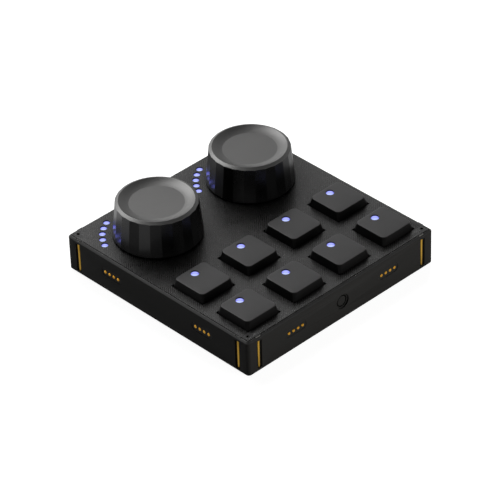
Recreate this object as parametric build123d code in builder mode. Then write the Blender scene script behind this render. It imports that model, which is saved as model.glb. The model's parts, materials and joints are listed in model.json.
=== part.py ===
from build123d import *
from math import atan2, cos, degrees, radians, sin
import os

# A square desktop midi controller module, in millimetres. The origin is on the desk under
# the middle of the case, X is to the player's right, Y away from the player and Z up.
#
# A moulded case frame holds a screwed faceplate above and a drop-in cover below. Inside, one
# board stands on the cover's bosses and the case's pedestals. It carries eight low-profile
# key switches, two endless rotary encoders, the lamps and the side connectors. The four
# sides are alike, each turned by a quarter: a group of spring pins, a group of target pads
# and two magnet bars, so that modules dock to each other on any side.

os.makedirs("parts", exist_ok=True)

# Case
body_width = 106.0
body_height = 16.55
case_corner = 1.5
wall = 3.0
edge_bevel = 1.0
foot_proud = 1.0

# Clearances
plate_gap = 0.12
cover_gap = 0.15
slip_gap = 0.05
stop_gap = 0.1
run_gap = 0.25

# Faceplate
plate_width = body_width - 2 * edge_bevel
plate_thickness = 1.6
plate_corner = 0.7
tab_width = 2.6
tab_reach = 0.4
tab_drop = 0.15

# Keys, four columns in two rows
key_columns = 4
key_rows = 2
key_margin = 4.145
key_gap = 0.2
key_lift = 3.65
key_travel = 3.0

# Keycaps
cap_width = 18.0
cap_depth = 18.0
cap_narrowing = 1.1
cap_corner = 1.4
cap_edge = 0.6
cap_wall = 1.1
cap_roof = 1.4
cap_boss_height = 1.0
prong_spacing = 5.7
prong_width = 1.1
prong_margin = 0.85
prong_length = 2.6

# Lamp windows in the keycaps
window_inset = 4.25
window_width = 3.6
window_recess = 0.4
window_flange = 4.2
flange_thickness = 0.5

# Key switches
switch_width = 13.8
switch_flange = 15.0
switch_base_height = 2.2
switch_flange_height = 0.8
switch_height = 5.2
switch_narrowing = 0.6
switch_floor = 0.4
switch_lip = 0.9
stem_width = 10.0
stem_window_gap = 0.35
stem_foot_reach = 0.9
stem_foot_height = 0.6
light_well = 2.2
peg_width = 3.4
side_peg_width = 1.9
side_peg_spacing = 11.0
peg_length = 2.4

# Main board
board_thickness = 1.6
board_inset = 1.0
board_hole_gap = 0.1

# Dials
knob_sides = 24
knob_margin = 7.65
knob_narrowing = 1.55
knob_height = 16.45
knob_gap = 0.5
knob_bevel_height = 0.85
knob_bevel_width = 1.5
knob_dish_width = 4.3
knob_dish_depth = 1.5
knob_dish_sag = 0.22
knob_foot_chamfer = 0.5
knob_wall = 2.6
knob_roof = 2.2
knob_trim_room = 1.0
hub_radius = 5.5
hub_lift = 0.9

# Rotary encoders
encoder_width = 12.6
encoder_height = 5.0
encoder_corner = 1.0
bushing_width = 6.9
bushing_proud = 0.5
shaft_width = 6.0
shaft_flat_depth = 1.5
shaft_top_gap = 0.5
rotor_width = 9.0
rotor_height = 1.6
rotor_floor = 1.2
nut_flats = 9.0
nut_thickness = 2.0
washer_width = 11.0
washer_thickness = 0.5

# Lamp arcs beside the dials
lamp_count = 5
lamp_step_angle = 10.0
lamp_mid_angle = 135.0
lamp_ring_gap = 4.15
lamp_width = 3.0
lamp_recess = 0.4
guide_width = 3.4
guide_thickness = 1.4
lamp_chip_width = 1.6
lamp_chip_height = 0.8

# Docking contacts, two groups on each side
contact_count = 4
contact_pitch = 2.54
contact_mouth = 3.9
contact_recess = 0.35
contact_width = 1.5
contact_proud = 0.3
contact_travel = 0.7
contact_length = 3.7
contact_round = 0.6
block_width = 14.0
block_height = 5.0
block_depth = 3.1

# Magnet bars, two on each side
magnet_inset = 6.25
magnet_bottom = 1.0
magnet_top = 2.05
magnet_slot_width = 2.5
magnet_slot_depth = 0.6
magnet_width = 1.5
magnet_end_gap = 0.2
magnet_thickness = 2.0
magnet_recess = 0.3

# Mode button in the front wall
button_height = 8.14
button_width = 5.0
button_seat_width = 6.9
button_seat_depth = 0.6
button_edge = 0.3
button_travel = 0.4
button_collar_width = 8.4
button_collar_thickness = 1.0
button_stem_width = 2.4
button_stem_depth = 1.3
tact_width = 6.2
tact_depth = 3.8

# USB socket in the back wall
usb_width = 8.94
usb_height = 3.26
usb_wall = 0.3
usb_depth = 7.35
usb_recess = 0.8
usb_mouth_gap = 0.35
usb_tongue_width = 6.7
usb_tongue_thickness = 0.7
usb_tongue_length = 4.5
usb_core_depth = 1.6

# Screws
screw_width = 2.0
screw_head_width = 3.8
screw_socket = 1.3
screw_socket_depth = 0.8
plate_screw_inset = 3.24
plate_screw_length = 6.0
cover_screw_inset = 6.1
cover_screw_length = 6.0
board_screw_length = 5.0
board_screw_head_height = 1.3
post_inset = 6.0
post_fillet = 2.0
pedestal_inset = 8.6
pedestal_fillet = 3.0

# Bottom cover
cover_thickness = 2.0
boss_width = 5.0
rib_height = 1.2
rib_width = 1.2
foot_width = 10.0
foot_sink = 1.0
foot_inset = 15.0
foot_edge = 0.4

# Parts on the board
chip_sizes = {"controller": (0.0, 24.0, 9.0, 9.0, 1.0), "memory": (0.0, 13.0, 5.0, 4.0, 1.2)}

# Heights above the desk
case_bottom = foot_proud
case_top = case_bottom + body_height
plate_bottom = case_top - plate_thickness
cover_top = case_bottom + cover_thickness
key_top = case_top + key_lift
cap_ceiling = key_top - cap_roof
stem_top = cap_ceiling - cap_boss_height
switch_top = stem_top - key_travel
board_top = switch_top - switch_height
board_bottom = board_top - board_thickness
board_middle = (board_top + board_bottom) / 2
switch_flange_top = board_top + switch_base_height + switch_flange_height
cap_bottom = switch_flange_top + key_travel + run_gap
knob_bottom = case_top + knob_gap
knob_crest = knob_bottom + knob_height
washer_top = case_top + washer_thickness
nut_top = washer_top + slip_gap + nut_thickness
bushing_top = nut_top + bushing_proud
hub_bottom = bushing_top + hub_lift
knob_ceiling = knob_crest - knob_dish_depth - knob_roof

# Plan positions
half = body_width / 2
inner_half = half - wall
plate_half = plate_width / 2
quarter = body_width / 4
key_opening_width = cap_width + 2 * key_gap
key_opening_depth = cap_depth + 2 * key_gap
key_reach = plate_half - key_margin - key_opening_width / 2
key_pitch = 2 * key_reach / (key_columns - 1)
key_places = [
    (-key_reach + column * key_pitch, -key_reach + row * key_pitch)
    for row in reversed(range(key_rows))
    for column in range(key_columns)
]
window_offset = cap_depth / 2 - window_inset
stem_depth = 2 * (window_offset - window_flange / 2 - stem_window_gap)
prong_depth = stem_depth - 2 * prong_margin
knob_base_radius = quarter - knob_margin
knob_rim_radius = knob_base_radius - knob_narrowing
knob_crest_radius = knob_rim_radius - knob_bevel_width
knob_disc_radius = knob_crest_radius - knob_dish_width
knob_places = {"left": (-quarter, quarter), "right": (quarter, quarter)}
sides = {"front": 0.0, "right": 90.0, "back": 180.0, "left": 270.0}
board_half = inner_half - board_inset
magnet_reach = half - magnet_inset
magnet_slot_height = body_height - magnet_bottom - magnet_top
magnet_height = magnet_slot_height - 2 * magnet_end_gap
plate_screw_reach = half - plate_screw_inset
cover_screw_reach = half - cover_screw_inset
foot_reach = half - foot_inset
post_reach = half - post_inset
pedestal_reach = half - pedestal_inset
board_screw_places = [
    (-key_pitch, -key_pitch),
    (key_pitch, -key_pitch),
    (-key_pitch, key_pitch / 5),
    (key_pitch, key_pitch / 5),
    (0.0, key_pitch * 1.4),
]
lamp_ring_radius = knob_base_radius + lamp_ring_gap
collar_face = inner_half - stop_gap
tact_face = collar_face - button_collar_thickness - button_travel - run_gap
tact_back = tact_face - tact_depth
usb_front = half - usb_recess
usb_back = usb_front - usb_depth
block_back = inner_half - block_depth
lamp_angles = [lamp_mid_angle + (n - (lamp_count - 1) / 2) * lamp_step_angle for n in range(lamp_count)]


def side_plane(side, height):
    """The plane of a side wall's outer face, at a height, with X along the wall and Z outward."""
    turn = radians(sides[side])
    outward = (sin(turn), -cos(turn), 0)
    return Plane(
        origin=(half * outward[0], half * outward[1], height),
        x_dir=(cos(turn), sin(turn), 0),
        z_dir=outward,
    )


def lamp_points(side):
    """The centres of the lamps that curve round one dial."""
    x, y = knob_places[side]
    return [
        (x + lamp_ring_radius * cos(radians(a)), y + lamp_ring_radius * sin(radians(a)))
        for a in lamp_angles
    ]


def save(builder, name):
    """Label one finished piece and write it out."""
    builder.part.label = name
    export_step(builder.part, f"parts/{name}.step")


# Case frame: four walls with corner posts, open above and below
with BuildPart() as case_frame:
    with BuildSketch(Plane.XY.offset(case_bottom)):
        RectangleRounded(body_width, body_width, case_corner)
    extrude(amount=body_height)
    chamfer(case_frame.faces().sort_by(Axis.Z)[-1].edges(), length=edge_bevel)
    # Room inside, less the corner posts
    with BuildSketch(Plane.XY.offset(case_bottom)):
        Rectangle(2 * inner_half, 2 * inner_half)
    extrude(amount=body_height, mode=Mode.SUBTRACT)
    # A low pedestal in each corner for the board, and a slim post for the faceplate
    for reach, round_over, foot, head in (
        (pedestal_reach, pedestal_fillet, cover_top, board_bottom),
        (post_reach, post_fillet, board_bottom, plate_bottom),
    ):
        with BuildSketch(Plane.XY.offset(foot)) as corners:
            Rectangle(2 * inner_half, 2 * inner_half)
            Rectangle(2 * inner_half, 2 * reach, mode=Mode.SUBTRACT)
            Rectangle(2 * reach, 2 * inner_half, mode=Mode.SUBTRACT)
            fillet(corners.vertices().sort_by_distance((0, 0, 0))[:4], radius=round_over)
        extrude(amount=head - foot)
    # Seat for the faceplate and the notches for its edge tabs
    with BuildSketch(Plane.XY.offset(plate_bottom)):
        RectangleRounded(
            plate_width + 2 * plate_gap, plate_width + 2 * plate_gap, plate_corner + plate_gap
        )
        for turn in (0, 90):
            with Locations(Rotation(0, 0, turn)):
                with GridLocations(2 * magnet_reach, 1, 2, 1):
                    Rectangle(
                        tab_width + 2 * plate_gap, plate_width + 2 * (tab_reach + plate_gap)
                    )
    extrude(amount=plate_thickness, mode=Mode.SUBTRACT)
    # Pilot holes for the faceplate screws and the cover screws
    with Locations((0, 0, plate_bottom)):
        with GridLocations(2 * plate_screw_reach, 2 * plate_screw_reach, 2, 2):
            Cylinder(
                screw_width / 2 + slip_gap,
                plate_screw_length - plate_thickness + 2 * run_gap,
                align=(Align.CENTER, Align.CENTER, Align.MAX),
                mode=Mode.SUBTRACT,
            )
    with Locations((0, 0, cover_top)):
        with GridLocations(2 * cover_screw_reach, 2 * cover_screw_reach, 2, 2):
            Cylinder(
                screw_width / 2 + slip_gap,
                cover_screw_length - cover_thickness + 2 * run_gap,
                align=(Align.CENTER, Align.CENTER, Align.MIN),
                mode=Mode.SUBTRACT,
            )
    # Each wall has two connector mouths and two magnet slots
    for side in sides:
        with BuildSketch(side_plane(side, board_middle)):
            with GridLocations(2 * quarter, 1, 2, 1):
                SlotOverall(contact_pitch * (contact_count - 1) + contact_mouth, contact_mouth)
        extrude(amount=-wall, mode=Mode.SUBTRACT)
        slot_middle = case_bottom + magnet_bottom + magnet_slot_height / 2
        with BuildSketch(side_plane(side, slot_middle)):
            with GridLocations(2 * magnet_reach, 1, 2, 1):
                Rectangle(magnet_slot_width, magnet_slot_height)
        extrude(amount=-magnet_slot_depth, mode=Mode.SUBTRACT)
        with BuildSketch(side_plane(side, slot_middle)):
            with GridLocations(2 * magnet_reach, 1, 2, 1):
                Rectangle(magnet_width + 2 * slip_gap, magnet_height + 2 * slip_gap)
        extrude(amount=-(magnet_recess + magnet_thickness + slip_gap), mode=Mode.SUBTRACT)
    # Button hole in front and socket mouth behind
    with BuildSketch(side_plane("front", case_bottom + button_height)):
        Circle(button_width / 2 + run_gap)
    extrude(amount=-wall, mode=Mode.SUBTRACT)
    with BuildSketch(side_plane("front", case_bottom + button_height)):
        Circle(button_seat_width / 2)
    extrude(amount=-button_seat_depth, mode=Mode.SUBTRACT)
    with BuildSketch(side_plane("back", board_middle)):
        SlotOverall(usb_width + 2 * usb_mouth_gap, usb_height + 2 * usb_mouth_gap)
    extrude(amount=-wall, mode=Mode.SUBTRACT)
save(case_frame, "case_frame")

# Faceplate: openings for the keys, the lamps, the encoder bushings and the screws
with BuildPart() as faceplate:
    with BuildSketch(Plane.XY.offset(plate_bottom)):
        RectangleRounded(plate_width, plate_width, plate_corner)
        with Locations(*key_places):
            Rectangle(key_opening_width, key_opening_depth, mode=Mode.SUBTRACT)
        with Locations(*lamp_points("left"), *lamp_points("right")):
            Circle(lamp_width / 2, mode=Mode.SUBTRACT)
        with Locations(*knob_places.values()):
            Circle(bushing_width / 2 + 3 * slip_gap, mode=Mode.SUBTRACT)
    extrude(amount=plate_thickness)
    with BuildSketch(Plane.XY.offset(plate_bottom)):
        for turn in (0, 90):
            with Locations(Rotation(0, 0, turn)):
                with GridLocations(2 * magnet_reach, plate_width, 2, 2):
                    Rectangle(tab_width, 2 * tab_reach)
    extrude(amount=plate_thickness - tab_drop)
    with Locations((0, 0, case_top)):
        with GridLocations(2 * plate_screw_reach, 2 * plate_screw_reach, 2, 2):
            CounterSinkHole(
                screw_width / 2 + 2 * slip_gap,
                screw_head_width / 2 + slip_gap,
                depth=plate_thickness,
            )
save(faceplate, "faceplate")

# Faceplate screws: countersunk heads with hexagon sockets, flush with the plate
with BuildPart() as faceplate_screws:
    head_height = (screw_head_width - screw_width) / 2
    with GridLocations(2 * plate_screw_reach, 2 * plate_screw_reach, 2, 2):
        with Locations((0, 0, case_top)):
            Cone(
                screw_width / 2,
                screw_head_width / 2,
                head_height,
                align=(Align.CENTER, Align.CENTER, Align.MAX),
            )
            Cylinder(
                screw_width / 2,
                plate_screw_length,
                align=(Align.CENTER, Align.CENTER, Align.MAX),
            )
    with BuildSketch(Plane.XY.offset(case_top)):
        with GridLocations(2 * plate_screw_reach, 2 * plate_screw_reach, 2, 2):
            RegularPolygon(screw_socket / 2, 6, major_radius=False)
    extrude(amount=-screw_socket_depth, mode=Mode.SUBTRACT)
save(faceplate_screws, "faceplate_screws")

# Bottom cover: bosses for the board, ribs, screw holes and foot pockets
with BuildPart() as bottom_cover:
    cover_width = 2 * (inner_half - cover_gap)
    with BuildSketch(Plane.XY.offset(case_bottom)):
        RectangleRounded(cover_width, cover_width, plate_corner)
    extrude(amount=cover_thickness)
    with BuildSketch(Plane.XY.offset(cover_top)):
        for x, y in board_screw_places:
            with Locations((x, y)):
                Circle(boss_width / 2)
    extrude(amount=board_bottom - cover_top)
    with BuildSketch(Plane.XY.offset(cover_top)):
        with GridLocations(2 * key_pitch, 1, 2, 1):
            Rectangle(rib_width, 2 * foot_reach)
        with GridLocations(1, 2 * key_pitch, 1, 2):
            Rectangle(2 * foot_reach, rib_width)
    extrude(amount=rib_height)
    with BuildSketch(Plane.XY.offset(board_bottom)):
        with Locations(*board_screw_places):
            Circle(screw_width / 2 + slip_gap)
    extrude(amount=-board_screw_length, mode=Mode.SUBTRACT)
    with BuildSketch(Plane.XY.offset(case_bottom)):
        with GridLocations(2 * foot_reach, 2 * foot_reach, 2, 2):
            Circle(foot_width / 2 + 2 * slip_gap)
    extrude(amount=foot_sink, mode=Mode.SUBTRACT)
    with Locations(Plane.XY.offset(case_bottom).rotated((180, 0, 0))):
        with GridLocations(2 * cover_screw_reach, 2 * cover_screw_reach, 2, 2):
            CounterSinkHole(
                screw_width / 2 + 2 * slip_gap,
                screw_head_width / 2 + slip_gap,
                depth=cover_thickness,
            )
save(bottom_cover, "bottom_cover")

# Cover screws: driven up from below into the corner posts
with BuildPart() as cover_screws:
    with GridLocations(2 * cover_screw_reach, 2 * cover_screw_reach, 2, 2):
        with Locations((0, 0, case_bottom)):
            Cone(
                screw_head_width / 2,
                screw_width / 2,
                head_height,
                align=(Align.CENTER, Align.CENTER, Align.MIN),
            )
            Cylinder(
                screw_width / 2,
                cover_screw_length,
                align=(Align.CENTER, Align.CENTER, Align.MIN),
            )
    with BuildSketch(Plane.XY.offset(case_bottom)):
        with GridLocations(2 * cover_screw_reach, 2 * cover_screw_reach, 2, 2):
            RegularPolygon(screw_socket / 2, 6, major_radius=False)
    extrude(amount=screw_socket_depth, mode=Mode.SUBTRACT)
save(cover_screws, "cover_screws")

# Rubber feet: discs sunk in the cover's pockets
with BuildPart() as rubber_feet:
    with BuildSketch():
        with GridLocations(2 * foot_reach, 2 * foot_reach, 2, 2):
            Circle(foot_width / 2)
    extrude(amount=foot_proud + foot_sink)
    chamfer(rubber_feet.faces().group_by(Axis.Z)[0].edges(), length=foot_edge)
save(rubber_feet, "rubber_feet")

# Main board: cut round the posts, the side connectors, the button switch and the socket
with BuildPart() as main_board:
    with BuildSketch(Plane.XY.offset(board_bottom)):
        Rectangle(2 * board_half, 2 * board_half)
        corner = half - post_reach + 2 * run_gap
        notch_depth = board_half - block_back + run_gap
        with GridLocations(2 * half, 2 * half, 2, 2):
            Rectangle(2 * corner, 2 * corner, mode=Mode.SUBTRACT)
        for turn in (0, 90):
            with Locations(Rotation(0, 0, turn)):
                with GridLocations(2 * quarter, 2 * board_half, 2, 2):
                    Rectangle(block_width + 2 * run_gap, 2 * notch_depth, mode=Mode.SUBTRACT)
        with Locations(*key_places):
            Circle(peg_width / 2 + board_hole_gap, mode=Mode.SUBTRACT)
        for x, y in key_places:
            with Locations((x, y)):
                with GridLocations(side_peg_spacing, 1, 2, 1):
                    Circle(side_peg_width / 2 + board_hole_gap, mode=Mode.SUBTRACT)
        with Locations(*board_screw_places):
            Circle(screw_width / 2 + 2 * slip_gap, mode=Mode.SUBTRACT)
        with Locations((0, -board_half)):
            Rectangle(
                button_collar_width + 2 * run_gap,
                2 * (board_half - tact_face),
                mode=Mode.SUBTRACT,
            )
            Rectangle(
                tact_width + 2 * run_gap,
                2 * (board_half - tact_back + run_gap),
                mode=Mode.SUBTRACT,
            )
        with Locations((0, board_half)):
            Rectangle(
                usb_width + 2 * run_gap,
                2 * (board_half - usb_back + run_gap),
                mode=Mode.SUBTRACT,
            )
    extrude(amount=board_thickness)
save(main_board, "main_board")

# Board screws: pan heads on the board, threads in the cover's bosses
with BuildPart() as board_screws:
    for x, y in board_screw_places:
        with BuildSketch(Plane((x, y, board_top))):
            Circle(screw_head_width / 2)
        extrude(amount=board_screw_head_height)
        with BuildSketch(Plane((x, y, board_top))):
            Circle(screw_width / 2)
        extrude(amount=-board_screw_length)
        with BuildSketch(Plane((x, y, board_top + board_screw_head_height))):
            RegularPolygon(screw_socket / 2, 6, major_radius=False)
        extrude(amount=-screw_socket_depth, mode=Mode.SUBTRACT)
save(board_screws, "board_screws")

# Chips on the board between the encoders
with BuildPart() as board_chips:
    for x, y, width, depth, height in chip_sizes.values():
        with BuildSketch(Plane((x, y, board_top))):
            Rectangle(width, depth)
        extrude(amount=height)
save(board_chips, "board_chips")

# Lamp chips: one under each key window and one under each lamp of the arcs
with BuildPart() as lamp_chips:
    key_lamps = [(x, y + window_offset) for x, y in key_places]
    with BuildSketch(Plane.XY.offset(board_top)):
        with Locations(*key_lamps, *lamp_points("left"), *lamp_points("right")):
            Rectangle(lamp_chip_width, lamp_chip_width)
    extrude(amount=lamp_chip_height)
save(lamp_chips, "lamp_chips")

# Light guides: five clear pipes on a curved web that is bonded under the faceplate
with BuildPart() as lamp_guides:
    for side, centre in knob_places.items():
        web_sweep = lamp_step_angle * (lamp_count - 1)
        web_line = Edge.make_circle(
            lamp_ring_radius, Plane(centre), lamp_angles[0], lamp_angles[0] + web_sweep
        )
        with BuildSketch(Plane.XY.offset(plate_bottom - guide_thickness)):
            SlotArc(web_line, guide_width)
            Rectangle(2 * (inner_half - run_gap), 2 * (inner_half - run_gap), mode=Mode.INTERSECT)
        extrude(amount=guide_thickness)
        with BuildSketch(Plane.XY.offset(plate_bottom)):
            with Locations(*lamp_points(side)):
                Circle(lamp_width / 2 - slip_gap)
        extrude(amount=plate_thickness - lamp_recess)
save(lamp_guides, "lamp_guides")

# Contact blocks: a nose in each mouth of the walls and a body behind it, with four bores
bore_bottom = contact_proud - contact_length - contact_travel - run_gap
mouth_length = contact_pitch * (contact_count - 1) + contact_mouth
with BuildPart() as contact_blocks:
    for side in sides:
        wall_face = side_plane(side, board_middle)
        with BuildSketch(wall_face.offset(-contact_recess)):
            with GridLocations(2 * quarter, 1, 2, 1):
                SlotOverall(mouth_length - 2 * stop_gap, contact_mouth - 2 * stop_gap)
        extrude(amount=contact_recess - wall - stop_gap)
        with BuildSketch(wall_face.offset(-wall - stop_gap)):
            with GridLocations(2 * quarter, 1, 2, 1):
                Rectangle(block_width, block_height)
        extrude(amount=stop_gap - block_depth)
        with BuildSketch(wall_face.offset(-contact_recess)):
            with GridLocations(2 * quarter, 1, 2, 1):
                with GridLocations(contact_pitch, 1, contact_count, 1):
                    Circle(contact_width / 2 + slip_gap)
        extrude(amount=bore_bottom + contact_recess, mode=Mode.SUBTRACT)
save(contact_blocks, "contact_blocks")

# Spring pins: the round-nosed pins of each side's left-hand group, which move together
for side in sides:
    wall_face = side_plane(side, board_middle)
    with BuildPart() as spring_pins:
        with BuildSketch(wall_face.offset(contact_proud)):
            with Locations((-quarter, 0)):
                with GridLocations(contact_pitch, 1, contact_count, 1):
                    Circle(contact_width / 2)
        extrude(amount=-contact_length)
        outward = Axis((0, 0, 0), wall_face.z_dir)
        fillet(spring_pins.faces().group_by(outward)[-1].edges(), radius=contact_round)
    save(spring_pins, f"{side}_spring_pins")

# Target pads: the fixed contacts of each side's right-hand group, level with the wall
with BuildPart() as target_pads:
    for side in sides:
        with BuildSketch(side_plane(side, board_middle)):
            with Locations((quarter, 0)):
                with GridLocations(contact_pitch, 1, contact_count, 1):
                    Circle(contact_width / 2)
        extrude(amount=bore_bottom)
    pad_rims = target_pads.edges().filter_by(GeomType.CIRCLE)
    pad_rims = [rim for rim in pad_rims if max(abs(rim.center().X), abs(rim.center().Y)) > inner_half]
    fillet(pad_rims, radius=contact_round / 2)
save(target_pads, "target_pads")

# Magnet bars: seated in the pockets behind the shadow slots
with BuildPart() as magnet_bars:
    for side in sides:
        wall_face = side_plane(side, case_bottom + magnet_bottom + magnet_slot_height / 2)
        with BuildSketch(wall_face.offset(-magnet_recess)):
            with GridLocations(2 * magnet_reach, 1, 2, 1):
                Rectangle(magnet_width, magnet_height)
        extrude(amount=-magnet_thickness)
save(magnet_bars, "magnet_bars")

# Mode button: a round cap with a collar behind the wall and a stem into its switch
button_face = side_plane("front", case_bottom + button_height)
with BuildPart() as mode_button:
    with BuildSketch(button_face.offset(-button_seat_depth)):
        Circle(button_width / 2)
    extrude(amount=button_seat_depth - wall - stop_gap)
    fillet(mode_button.faces().sort_by(Axis.Y)[0].edges(), radius=button_edge)
    with BuildSketch(button_face.offset(-wall - stop_gap)):
        Circle(button_collar_width / 2)
    extrude(amount=-button_collar_thickness)
    with BuildSketch(button_face.offset(-wall - stop_gap - button_collar_thickness)):
        Circle(button_stem_width / 2)
    extrude(amount=-(button_travel + run_gap + button_stem_depth))
save(mode_button, "mode_button")

# Button switch: set in a notch of the board, bored for the button's stem
with BuildPart() as button_switch:
    with BuildSketch(button_face.offset(tact_face - half)):
        Rectangle(tact_width, tact_width)
    extrude(amount=-tact_depth)
    with BuildSketch(button_face.offset(tact_face - half)):
        Circle(button_stem_width / 2 + slip_gap)
    extrude(amount=-(button_stem_depth + button_travel + run_gap), mode=Mode.SUBTRACT)
save(button_switch, "button_switch")

# USB socket: a rolled shell, and the moulded core with its tongue
usb_face = side_plane("back", board_middle)
usb_room = usb_height - 2 * usb_wall
with BuildPart() as usb_shell:
    with BuildSketch(usb_face.offset(-usb_recess)):
        SlotOverall(usb_width, usb_height)
        SlotOverall(usb_width - 2 * usb_wall, usb_room, mode=Mode.SUBTRACT)
    extrude(amount=-usb_depth)
save(usb_shell, "usb_shell")
with BuildPart() as usb_tongue:
    with BuildSketch(usb_face.offset(-usb_recess - usb_depth)):
        SlotOverall(usb_width - 2 * usb_wall - 2 * slip_gap, usb_room - 2 * slip_gap)
    extrude(amount=usb_core_depth)
    with BuildSketch(usb_face.offset(-usb_recess - usb_depth + usb_core_depth)):
        Rectangle(usb_tongue_width, usb_tongue_thickness)
    extrude(amount=usb_tongue_length)
save(usb_tongue, "usb_tongue")

# Encoder bodies: a squat case with a rotor chamber, and the bushing that the nut clamps
with BuildPart() as encoder_bodies:
    for centre in knob_places.values():
        with BuildSketch(Plane.XY.offset(board_top)):
            with Locations(centre):
                Rectangle(encoder_width, encoder_width)
        extrude(amount=encoder_height)
        with BuildSketch(Plane.XY.offset(board_top)):
            with Locations(centre):
                Circle(bushing_width / 2)
        extrude(amount=bushing_top - board_top)
        with BuildSketch(Plane.XY.offset(board_top + rotor_floor)):
            with Locations(centre):
                Circle(rotor_width / 2 + run_gap)
        extrude(amount=rotor_height + 2 * stop_gap, mode=Mode.SUBTRACT)
        with BuildSketch(Plane.XY.offset(board_top + rotor_floor)):
            with Locations(centre):
                Circle(shaft_width / 2 + slip_gap)
        extrude(amount=bushing_top - board_top, mode=Mode.SUBTRACT)
    chamfer(encoder_bodies.edges().filter_by(Axis.Z).filter_by(GeomType.LINE), length=encoder_corner)
save(encoder_bodies, "encoder_bodies")

# Encoder nuts: each encoder's hexagon nut on its washer, above the faceplate
with BuildPart() as encoder_nuts:
    with BuildSketch(Plane.XY.offset(case_top)):
        with Locations(*knob_places.values()):
            Circle(washer_width / 2)
            Circle(bushing_width / 2 + slip_gap, mode=Mode.SUBTRACT)
    extrude(amount=washer_thickness)
    with BuildSketch(Plane.XY.offset(washer_top + slip_gap)):
        with Locations(*knob_places.values()):
            RegularPolygon(nut_flats / 2, 6, major_radius=False)
            Circle(bushing_width / 2 + slip_gap, mode=Mode.SUBTRACT)
    extrude(amount=nut_thickness)
save(encoder_nuts, "encoder_nuts")

# Encoder shafts and dials, one pair on each side
facet_slope = (knob_base_radius - knob_rim_radius) / (knob_height - knob_bevel_height)
knob_top_radius = knob_rim_radius - facet_slope * knob_bevel_height
bevel_slope = knob_bevel_height / (knob_rim_radius - knob_crest_radius)
disc_height = knob_crest - knob_dish_depth
shaft_top = knob_ceiling - shaft_top_gap
for side, (x, y) in knob_places.items():
    upright = Plane((x, y, 0), x_dir=(1, 0, 0), z_dir=(0, -1, 0))
    spindle = Axis((x, y, 0), (0, 0, 1))
    with BuildPart() as encoder_shaft:
        with BuildSketch(Plane((x, y, board_top + rotor_floor + stop_gap))):
            Circle(rotor_width / 2)
        extrude(amount=rotor_height)
        with BuildSketch(Plane((x, y, board_top + rotor_floor + stop_gap))):
            Circle(shaft_width / 2)
        extrude(amount=shaft_top - board_top - rotor_floor - stop_gap)
        with BuildSketch(Plane((x, y, hub_bottom))):
            with Locations((0, shaft_width / 2)):
                Rectangle(shaft_width, 2 * shaft_flat_depth)
        extrude(amount=shaft_top - hub_bottom, mode=Mode.SUBTRACT)
    save(encoder_shaft, f"{side}_encoder_shaft")

    with BuildPart() as knob:
        # Faceted cone of flat sides
        with BuildSketch(Plane((x, y, knob_bottom))):
            RegularPolygon(knob_base_radius, knob_sides, rotation=180 / knob_sides)
        with BuildSketch(Plane((x, y, knob_crest))):
            RegularPolygon(knob_top_radius, knob_sides, rotation=180 / knob_sides)
        loft(ruled=True)
        # Turned envelope: foot chamfer, rim bevel, dish and centre disc
        with BuildSketch(upright):
            with BuildLine():
                outer = knob_base_radius + knob_trim_room
                Polyline(
                    (0, disc_height),
                    (0, knob_bottom),
                    (knob_base_radius - knob_foot_chamfer, knob_bottom),
                    (outer, knob_bottom + knob_foot_chamfer + knob_trim_room),
                    (outer, knob_crest - bevel_slope * (outer - knob_crest_radius)),
                    (knob_crest_radius, knob_crest),
                )
                ThreePointArc(
                    (knob_crest_radius, knob_crest),
                    (
                        (knob_crest_radius + knob_disc_radius) / 2,
                        knob_crest - knob_dish_depth / 2 - knob_dish_sag,
                    ),
                    (knob_disc_radius, disc_height),
                )
                Line((knob_disc_radius, disc_height), (0, disc_height))
            make_face()
        revolve(axis=spindle, mode=Mode.INTERSECT)
        # Hollow round the hub
        with BuildSketch(upright):
            with BuildLine():
                Polyline(
                    (0, knob_bottom),
                    (knob_base_radius - knob_wall, knob_bottom),
                    (knob_rim_radius - knob_wall, knob_ceiling),
                    (hub_radius, knob_ceiling),
                    (hub_radius, hub_bottom),
                    (0, hub_bottom),
                    close=True,
                )
            make_face()
        revolve(axis=spindle, mode=Mode.SUBTRACT)
        # Bore with a flat, to match the shaft
        with BuildSketch(Plane((x, y, hub_bottom))):
            Circle(shaft_width / 2 + slip_gap)
            with Locations((0, shaft_width / 2 + slip_gap)):
                Rectangle(2 * shaft_width, 2 * shaft_flat_depth, mode=Mode.SUBTRACT)
        extrude(amount=knob_ceiling - hub_bottom, mode=Mode.SUBTRACT)
    save(knob, f"{side}_knob")

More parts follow.
